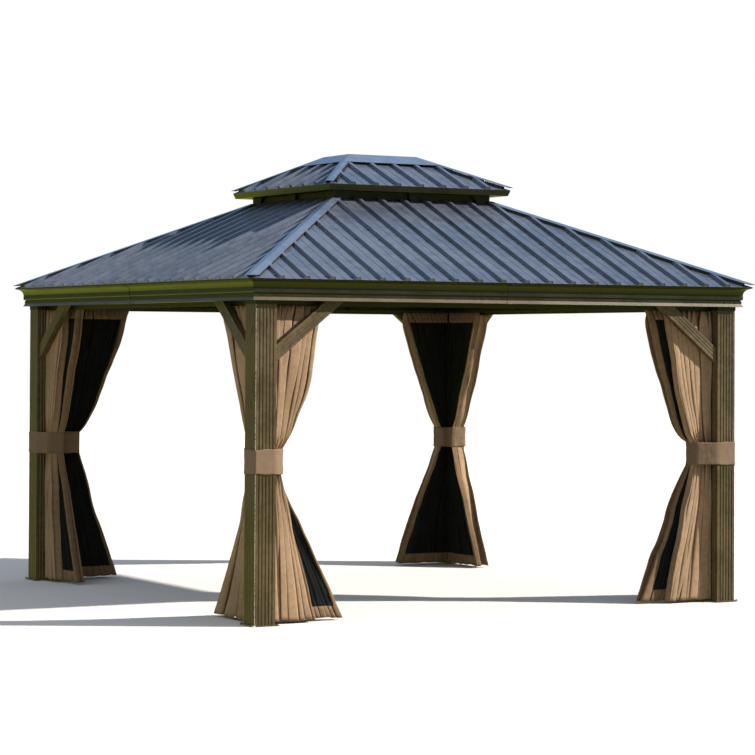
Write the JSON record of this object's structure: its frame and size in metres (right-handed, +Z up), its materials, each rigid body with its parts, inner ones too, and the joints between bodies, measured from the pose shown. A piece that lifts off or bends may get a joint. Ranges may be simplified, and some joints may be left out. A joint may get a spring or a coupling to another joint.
{
  "type": "gazebo",
  "caption": "Open square garden gazebo with a two-tier ribbed metal hip roof, reeded corner posts, moulded edge beams, knee braces, and tied-back curtains with insect netting.",
  "frame": {"origin": "middle of the plan on the floor, under the centre of the roof", "axes": "+Z up, -Y the front side, +X to the right seen from the front"},
  "size_m": [3.7562, 3.7562, 2.981],
  "materials": {
    "frame_metal": "satin powder coat, dark bronze brown",
    "roof_steel": "low-gloss coil coat, blue-grey",
    "curtain_cloth": "woven polyester, khaki",
    "net_cloth": "fine open net, black",
    "rail_metal": "dull dark coat"
  },
  "bodies": {
    "root": {"base_plates": "frame_metal", "beam_back": "frame_metal", "beam_corners": "frame_metal", "beam_front": "frame_metal", "beam_left": "frame_metal", "beam_right": "frame_metal", "beam_splices": "frame_metal", "common_rafters": "frame_metal", "curtain_back_left": "curtain_cloth", "curtain_back_right": "curtain_cloth", "curtain_front_left": "curtain_cloth", "curtain_front_right": "curtain_cloth", "curtain_left_back": "curtain_cloth", "curtain_left_front": "curtain_cloth", "curtain_rails": "rail_metal", "curtain_right_back": "curtain_cloth", "curtain_right_front": "curtain_cloth", "hip_rafters": "frame_metal", "jack_rafters": "frame_metal", "knee_braces_back": "frame_metal", "knee_braces_front": "frame_metal", "knee_braces_left": "frame_metal", "knee_braces_right": "frame_metal", "lower_hip_caps": "roof_steel", "lower_roof_back": "roof_steel", "lower_roof_front": "roof_steel", "lower_roof_left": "roof_steel", "lower_roof_right": "roof_steel", "nets_back": "net_cloth", "nets_front": "net_cloth", "nets_left": "net_cloth", "nets_right": "net_cloth", "peak_cap": "roof_steel", "peak_frame": "frame_metal", "post_back_left": "frame_metal", "post_back_right": "frame_metal", "post_collars": "frame_metal", "post_front_left": "frame_metal", "post_front_right": "frame_metal", "tie_bands": "curtain_cloth", "upper_fascia": "frame_metal", "upper_hip_caps": "roof_steel", "upper_rafters": "frame_metal", "upper_ring": "frame_metal", "upper_roof_back": "roof_steel", "upper_roof_front": "roof_steel", "upper_roof_left": "roof_steel", "upper_roof_right": "roof_steel", "vent_corner_brackets": "frame_metal", "vent_mid_brackets": "frame_metal", "vent_ring": "frame_metal"}
  },
  "joints": []
}
